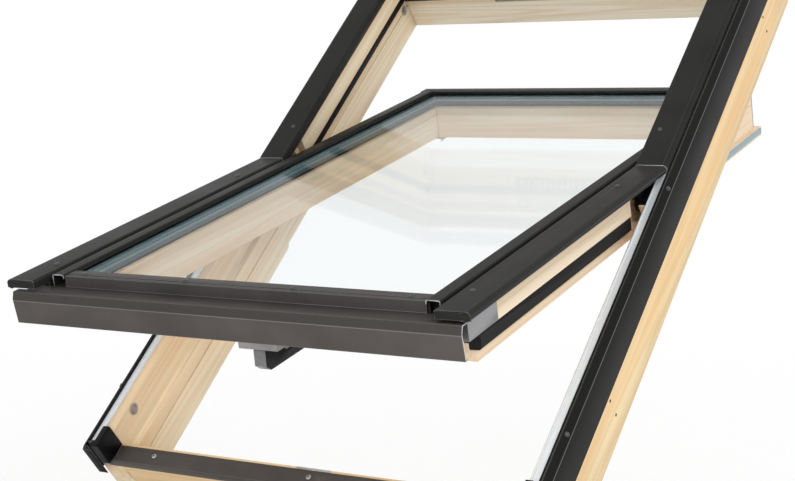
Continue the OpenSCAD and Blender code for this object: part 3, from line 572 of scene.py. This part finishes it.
class ROOFWINDOW_OT_timber(Operator):
    """Finishes the frame and sash timber in laminated pine"""

    bl_idname = "roofwindow.timber"
    bl_label = "Timber"

    def execute(self, context):
        timber = settings_of(context).timber
        frame_tones = (timber.pale, timber.warm, timber, CAD_BOX[1].x)
        head_tones = (timber.head_pale_lit, timber.head_warm_lit, timber)
        sill_tones = (timber.honey, timber.warm, timber)
        sealed = max(point.z for point in on_slope(SASH_ALONG[0], SASH_SLOPE))
        sash_tones = (timber.sash_pale, timber.sash_warm, timber, None, sealed)
        groups = [
            ("pine_frame_along", FRAME_ALONG, ROOF_SLOPE, False, frame_tones),
            ("pine_head", FRAME_ACROSS, ROOF_SLOPE, True, head_tones),
            ("pine_sill", ["sill"], ROOF_SLOPE, True, sill_tones),
            ("pine_sash_along", SASH_ALONG, SASH_SLOPE, False, sash_tones),
            ("pine_sash_across", SASH_ACROSS, SASH_SLOPE, True, sash_tones),
        ]
        hole = moulded("hole_shade", timber.hole, 0.8, 0.1)
        for name, nodes, slope, across, tones in groups:
            finish = pine(name, slope, across, *tones)
            for node in nodes:
                paint_hole_shade(eased(node, finish, timber.edge), hole)
        return {"FINISHED"}


class ROOFWINDOW_OT_sheet_metal(Operator):
    """Finishes covers, claddings, beads, tray, fascia, drain strips and corner plates"""

    bl_idname = "roofwindow.sheet_metal"
    bl_label = "Sheet metal"

    def execute(self, context):
        sheet = settings_of(context).sheet
        dark = painted_sheet("dark_paint", sheet.dark, sheet.bare_and_highlight)
        # The side claddings take a darker copy of the dark paint, painted shade that keeps their
        # lamp-lit flanges dark, and a painted highlight line on their outer fold
        flange_fold = (ROOF_SLOPE, fold_level(SIDE_CLADDINGS[0]))
        shaded_folded = painted_sheet(
            "folded_paint", tone(sheet.dark, sheet.flange_shade_tone), sheet.bare_and_highlight, shine=0.1, fold=flange_fold
        )
        # Above its fold the fascia's leaning nose takes a darker copy of the brown, painted shade, and
        # the fold a painted highlight line
        nose_top = max(point.z for point in on_slope("fascia", SASH_SLOPE))
        nosed = painted_sheet(
            "nosed_paint", sheet.brown, sheet.bare_and_highlight, fold=(SASH_SLOPE, nose_top - sheet.nose),
            above=sheet.nose_shade_tone,
        )
        brown = painted_sheet("brown_paint", sheet.brown, sheet.bare_and_highlight)
        tray = painted_sheet("tray_paint", sheet.tray, sheet.bare_and_highlight)
        cut = plain_metal("cut_metal", sheet.bare_and_highlight, ROOF_SLOPE)
        mill = plain_metal("mill_metal", sheet.mill, ROOF_SLOPE, 0.4, 0.2)
        silver = plain_metal("silver_metal", sheet.silver, SASH_SLOPE)
        roof_up = Vector((0, math.cos(ROOF_SLOPE), math.sin(ROOF_SLOPE)))
        sash_up = Vector((0, math.cos(SASH_SLOPE), math.sin(SASH_SLOPE)))
        side = Vector((1, 0, 0))
        groups = [
            (UPPER_COVERS, dark, [-roof_up]), (LOWER_COVERS, dark, [sash_up]),
            (SIDE_BEADS, dark, [-sash_up]), (SIDE_CLADDINGS, shaded_folded, []), (PLAIN_COVERS, dark, []),
            (TRAY_COVERS, tray, []), (["fascia"], nosed, [side, -side]), (["sill_cladding"], brown, []),
            (DRAIN_STRIPS, mill, []), (CORNER_PLATES, silver, []),
        ]
        for nodes, finish, cuts in groups:
            for node in nodes:
                fold = sheet.fold if node in UPPER_COVERS + LOWER_COVERS else None
                piece = eased(node, finish, sheet.edge, 4 if fold else 2, fold=fold)
                for axis in cuts:
                    refinish_facing(piece, cut, axis)
        return {"FINISHED"}


class ROOFWINDOW_OT_seals(Operator):
    """Finishes the rubber gaskets and the brush seal"""

    bl_idname = "roofwindow.seals"
    bl_label = "Seals"

    def execute(self, context):
        fitting = settings_of(context).fitting
        rubber = moulded("black_rubber", fitting.rubber, 0.62, 0.3)
        for node in RUBBERS:
            eased(node, rubber, fitting.rubber_edge)
        brush = brush_seal("slate_brush", fitting.slate, SASH_SLOPE)
        eased("flange_seal", brush, fitting.brush_edge)
        return {"FINISHED"}


class ROOFWINDOW_OT_glazing(Operator):
    """Finishes the two panes and the spacer bar"""

    bl_idname = "roofwindow.glazing"
    bl_label = "Glazing"

    def execute(self, context):
        glass = settings_of(context).glass
        clear = glass_sheet("clear_glass", glass)
        for node in PANES:
            eased(node, clear, glass.edge, 1, smooth=False)
        levels = [point.z for point in on_slope("spacer_bar", SASH_SLOPE)]
        spacer = spacer_metal(
            "spacer_metal", glass.spacer, glass.spacer_low, SASH_SLOPE, min(levels), max(levels)
        )
        eased("spacer_bar", spacer, glass.spacer_edge)
        return {"FINISHED"}


class ROOFWINDOW_OT_fittings(Operator):
    """Finishes hinges, handle, lock, bolts, corner blocks and the vent"""

    bl_idname = "roofwindow.fittings"
    bl_label = "Fittings"

    def execute(self, context):
        fitting = settings_of(context).fitting
        black = moulded("black_plastic", fitting.black, 0.45, 0.2)
        grey = moulded("grey_plastic", fitting.grey, 0.5)
        # The bushes' lighter grey is painted light against the shade of their recess
        bush = moulded("bush_plastic", fitting.bush, 0.5)
        light = moulded("light_grey_plastic", fitting.light, 0.4, 0.4)
        satin = moulded("lever_lacquer", fitting.lever, 0.25, 0.5)
        steel = plain_metal("bright_steel", fitting.steel, SASH_SLOPE, 0.3, 0.9)
        brass = plain_metal("runner_brass", fitting.brass, SASH_SLOPE, 0.32, 0.85)
        groups = [
            (BLACK_FITTINGS, black), (GREY_FITTINGS, grey), (VENT_PIECES, grey),
            (["bolt_bushes"], bush), (["handle_base"], light), (STEEL_FITTINGS, steel),
            (RUNNERS, brass),
        ]
        for nodes, finish in groups:
            for node in nodes:
                eased(node, finish, fitting.edge)
        # The lever's sides along X take the black plastic against its grey broad faces: painted shade
        # on the sides
        lever = eased("handle_lever", satin, fitting.edge)
        for side in (Vector((1, 0, 0)), Vector((-1, 0, 0))):
            refinish_facing(lever, black, side)
        return {"FINISHED"}


def loose_groups(node):
    """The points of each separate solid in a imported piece."""
    work = bmesh.new()
    work.from_mesh(frame["nodes"][node].data)
    bmesh.ops.remove_doubles(work, verts=work.verts, dist=MERGE_REACH)
    left = set(work.verts)
    groups = []
    while left:
        front, group = [left.pop()], []
        while front:
            vert = front.pop()
            group.append(vert.co.copy())
            near = {edge.other_vert(vert) for edge in vert.link_edges} & left
            left -= near
            front += near
        groups.append(group)
    work.free()
    return groups


def screw_seat(points):
    """A screw's seat, outward axis, shank length, head height and head radius, from its points."""
    middle = sum(points, Vector()) / len(points)
    tip = max(points, key=lambda point: (point - middle).length)
    reach = max((point - tip).length for point in points)
    rim = [point for point in points if (point - tip).length > 0.8 * reach]
    axis = (sum(rim, Vector()) / len(rim) - tip).normalized()
    heights = [(point - tip).dot(axis) for point in points]
    spread = [(point - tip - axis * up).length for point, up in zip(points, heights)]
    seat = min(up for up, far in zip(heights, spread) if far > 0.95 * max(spread))
    return tip + axis * seat, axis, seat, max(heights) - seat, max(spread)


def pan_screw(seat, axis, shank, head, radius):
    """A pan-head screw with a six-point recess, standing on its seat."""
    work = bmesh.new()
    half = radius / 2
    outline = [(0, -shank), (half, half - shank), (half, 0), (radius, 0), (radius, head * 0.3)]
    outline += [(radius * 0.93, head * 0.62), (radius * 0.75, head * 0.9), (radius * 0.6, head)]
    verts = [work.verts.new((across, 0, up)) for across, up in outline]
    edges = [work.edges.new(pair) for pair in zip(verts, verts[1:])]
    bmesh.ops.spin(
        work, geom=verts + edges, cent=(0, 0, 0), axis=(0, 0, 1), angle=math.tau, steps=24,
        use_merge=True,
    )
    bmesh.ops.remove_doubles(work, verts=work.verts, dist=1e-6)
    for drop in (0, 0.75 * head):
        ring = [edge for edge in work.edges if edge.is_boundary]
        grown = bmesh.ops.extrude_edge_only(work, edges=ring)["geom"]
        for vert in grown:
            if isinstance(vert, bmesh.types.BMVert):
                turn = math.atan2(vert.co.y, vert.co.x)
                far = radius * (0.40 + 0.10 * math.cos(6 * turn))
                vert.co = (far * math.cos(turn), far * math.sin(turn), head - drop)
    bmesh.ops.holes_fill(work, edges=[edge for edge in work.edges if edge.is_boundary])
    bmesh.ops.recalc_face_normals(work, faces=work.faces)
    for face in work.faces:
        face.smooth = True
    for edge in work.edges:
        edge.smooth = edge.calc_face_angle(0) < math.radians(40)
    turn = axis.to_track_quat("Z", "Y").to_matrix().to_4x4()
    bmesh.ops.transform(work, matrix=Matrix.Translation(seat) @ turn, verts=work.verts)
    return work


def gathered(parts):
    """One mesh of several finished ones."""
    whole = bmesh.new()
    for part in parts:
        mesh = bpy.data.meshes.new("part")
        part.to_mesh(mesh)
        part.free()
        whole.from_mesh(mesh)
        bpy.data.meshes.remove(mesh)
    return whole


class ROOFWINDOW_OT_screws(Operator):
    """Makes pan-head screws with a recess on every screw's seat"""

    bl_idname = "roofwindow.screws"
    bl_label = "Screws"

    def execute(self, context):
        settings = settings_of(context)
        bright = plain_metal("screw_steel", settings.fitting.steel, SASH_SLOPE, 0.3, 0.9)
        # The recess takes darker steel: painted shade in the bright screws, and in the painted screws a
        # painted glint, partly worn paint
        recess_shade_and_glint = plain_metal("recess_shade_and_glint_steel", tone(settings.fitting.steel, 0.35), SASH_SLOPE, 0.3, 0.9)
        dark = painted_sheet("screw_paint", settings.sheet.dark, settings.sheet.bare_and_highlight, 0.3, 0.5, 1.45)
        sill_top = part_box("sill_cladding")[1].y
        for node in SCREW_SETS:
            screws = []
            for points in loose_groups(node):
                seat, axis, *sizes = screw_seat(points)
                screw = pan_screw(seat, axis, *sizes)
                plain = node == "frame_screws" and (seat.y < sill_top or abs(axis.x) > 0.9)
                recess = 0.5 * sizes[2]
                for face in screw.faces:
                    out = face.calc_center_median() - seat
                    inside = out.cross(axis).length < recess and out.dot(axis) > 0
                    face.material_index = int(inside) if plain else 2 - int(inside)
                screws.append(screw)
            work = gathered(screws)
            piece = placed(node + "_finished", work, [node], bright)
            piece.data.materials.append(recess_shade_and_glint)
            piece.data.materials.append(dark)
        return {"FINISHED"}


def level_floor(stage):
    """A round pale floor under the part."""
    work = bmesh.new()
    bmesh.ops.create_circle(work, cap_ends=True, segments=96, radius=FLOOR_RADIUS)
    bmesh.ops.translate(work, verts=work.verts, vec=(0, 0, CAD_BOX[0].z))
    mesh = bpy.data.meshes.new("floor")
    work.to_mesh(mesh)
    work.free()
    floor = bpy.data.objects.new("floor", mesh)
    bpy.context.scene.collection.objects.link(floor)
    mesh.materials.append(floor_finish(stage))


def seen_directly(tree):
    """A factor that is one for camera, mirror and glass rays."""
    path = tree.nodes.new("ShaderNodeLightPath")
    total = None
    for ray in ("Is Camera Ray", "Is Glossy Ray", "Is Transmission Ray"):
        if total is None:
            total = path.outputs[ray]
            continue
        larger = tree.nodes.new("ShaderNodeMath")
        larger.operation = "MAXIMUM"
        tree.links.new(total, larger.inputs[0])
        tree.links.new(path.outputs[ray], larger.inputs[1])
        total = larger.outputs[0]
    return total


def floor_finish(stage):
    """Pale floor that looks white where it is lit, and keeps the part's shadow."""
    material = bpy.data.materials.new("pale_floor")
    material.use_nodes = True
    tree = material.node_tree
    surface = tree.nodes["Principled BSDF"]
    surface.inputs["Base Color"].default_value = (*stage.floor, 1)
    surface.inputs["Roughness"].default_value = 0.9
    surface.inputs["Specular IOR Level"].default_value = 0.0
    glow = tree.nodes.new("ShaderNodeEmission")
    place = tree.nodes.new("ShaderNodeTexCoord")
    reach = tree.nodes.new("ShaderNodeVectorMath")
    reach.operation = "LENGTH"
    tree.links.new(place.outputs["Object"], reach.inputs[0])
    fade = tree.nodes.new("ShaderNodeMapRange")
    for socket, value in FLOOR_GLOW.items():
        fade.inputs[socket].default_value = value
    tree.links.new(reach.outputs["Value"], fade.inputs["Value"])
    share = tree.nodes.new("ShaderNodeMath")
    share.operation = "MULTIPLY"
    tree.links.new(seen_directly(tree), share.inputs[0])
    tree.links.new(fade.outputs[0], share.inputs[1])
    join = tree.nodes.new("ShaderNodeMixShader")
    tree.links.new(share.outputs[0], join.inputs[0])
    tree.links.new(surface.outputs[0], join.inputs[1])
    tree.links.new(glow.outputs[0], join.inputs[2])
    tree.links.new(join.outputs[0], tree.nodes["Material Output"].inputs["Surface"])
    return material


def white_world(stage):
    """Even light, seen as plain white."""
    world = bpy.data.worlds.new("studio")
    world.use_nodes = True
    tree = world.node_tree
    even = tree.nodes["Background"]
    even.inputs["Color"].default_value = (1, 1, 1, 1)
    even.inputs["Strength"].default_value = stage.sky_level
    white = tree.nodes.new("ShaderNodeBackground")
    white.inputs["Color"].default_value = (1, 1, 1, 1)
    white.inputs["Strength"].default_value = 1
    join = tree.nodes.new("ShaderNodeMixShader")
    tree.links.new(seen_directly(tree), join.inputs[0])
    tree.links.new(even.outputs[0], join.inputs[1])
    tree.links.new(white.outputs[0], join.inputs[2])
    tree.links.new(join.outputs[0], tree.nodes["World Output"].inputs["Surface"])
    bpy.context.scene.world = world


def soft_lamp(name, place, target, size, watts):
    """A square lamp that points at a place."""
    lamp = bpy.data.lights.new(name, "AREA")
    lamp.size = size
    lamp.energy = watts
    stand = bpy.data.objects.new(name, lamp)
    stand.location = place
    stand.rotation_euler = (Vector(target) - Vector(place)).to_track_quat("-Z", "Y").to_euler()
    bpy.context.scene.collection.objects.link(stand)


class ROOFWINDOW_OT_stage(Operator):
    """Sets the floor, the lights, the white background and the camera"""

    bl_idname = "roofwindow.stage"
    bl_label = "Stage"

    def execute(self, context):
        stage = settings_of(context).stage
        level_floor(stage)
        white_world(stage)
        soft_lamp("key_lamp", *KEY_LAMP, stage.key_watts)
        soft_lamp("front_lamp", *FRONT_LAMP, stage.front_watts)
        view = bpy.data.cameras.new("camera")
        view.lens = stage.lens
        view.sensor_width = 36
        view.clip_end = 60
        camera = bpy.data.objects.new("camera", view)
        camera.location = stage.camera_place
        camera.rotation_euler = Euler(stage.camera_turn, "XYZ")
        context.scene.collection.objects.link(camera)
        context.scene.camera = camera
        context.scene.view_settings.view_transform = "Standard"
        return {"FINISHED"}


class ROOFWINDOW_PT_panel(Panel):
    """Lists the steps that finish the roof window"""

    bl_idname = "ROOFWINDOW_PT_panel"
    bl_label = "Roof window"
    bl_space_type = "VIEW_3D"
    bl_region_type = "UI"
    bl_category = "Roof window"

    def draw(self, context):
        for step in STEPS:
            self.layout.operator(step.bl_idname)


STEPS = (
    ROOFWINDOW_OT_stage, ROOFWINDOW_OT_timber, ROOFWINDOW_OT_sheet_metal, ROOFWINDOW_OT_seals,
    ROOFWINDOW_OT_glazing, ROOFWINDOW_OT_fittings, ROOFWINDOW_OT_screws,
)
CLASSES = (
    TimberFinish, SheetFinish, GlassFinish, FittingFinish, StageSettings, RoofWindowSettings,
    *STEPS, ROOFWINDOW_PT_panel,
)


def register():
    for item in CLASSES:
        bpy.utils.register_class(item)
    bpy.types.Scene.roof_window = PointerProperty(type=RoofWindowSettings)


def unregister():
    del bpy.types.Scene.roof_window
    for item in reversed(CLASSES):
        bpy.utils.unregister_class(item)


def main():
    register()
    bpy.ops.roofwindow.stage()
    bpy.ops.roofwindow.timber()
    bpy.ops.roofwindow.sheet_metal()
    bpy.ops.roofwindow.seals()
    bpy.ops.roofwindow.glazing()
    bpy.ops.roofwindow.fittings()
    bpy.ops.roofwindow.screws()


if __name__ == "__main__":
    main()
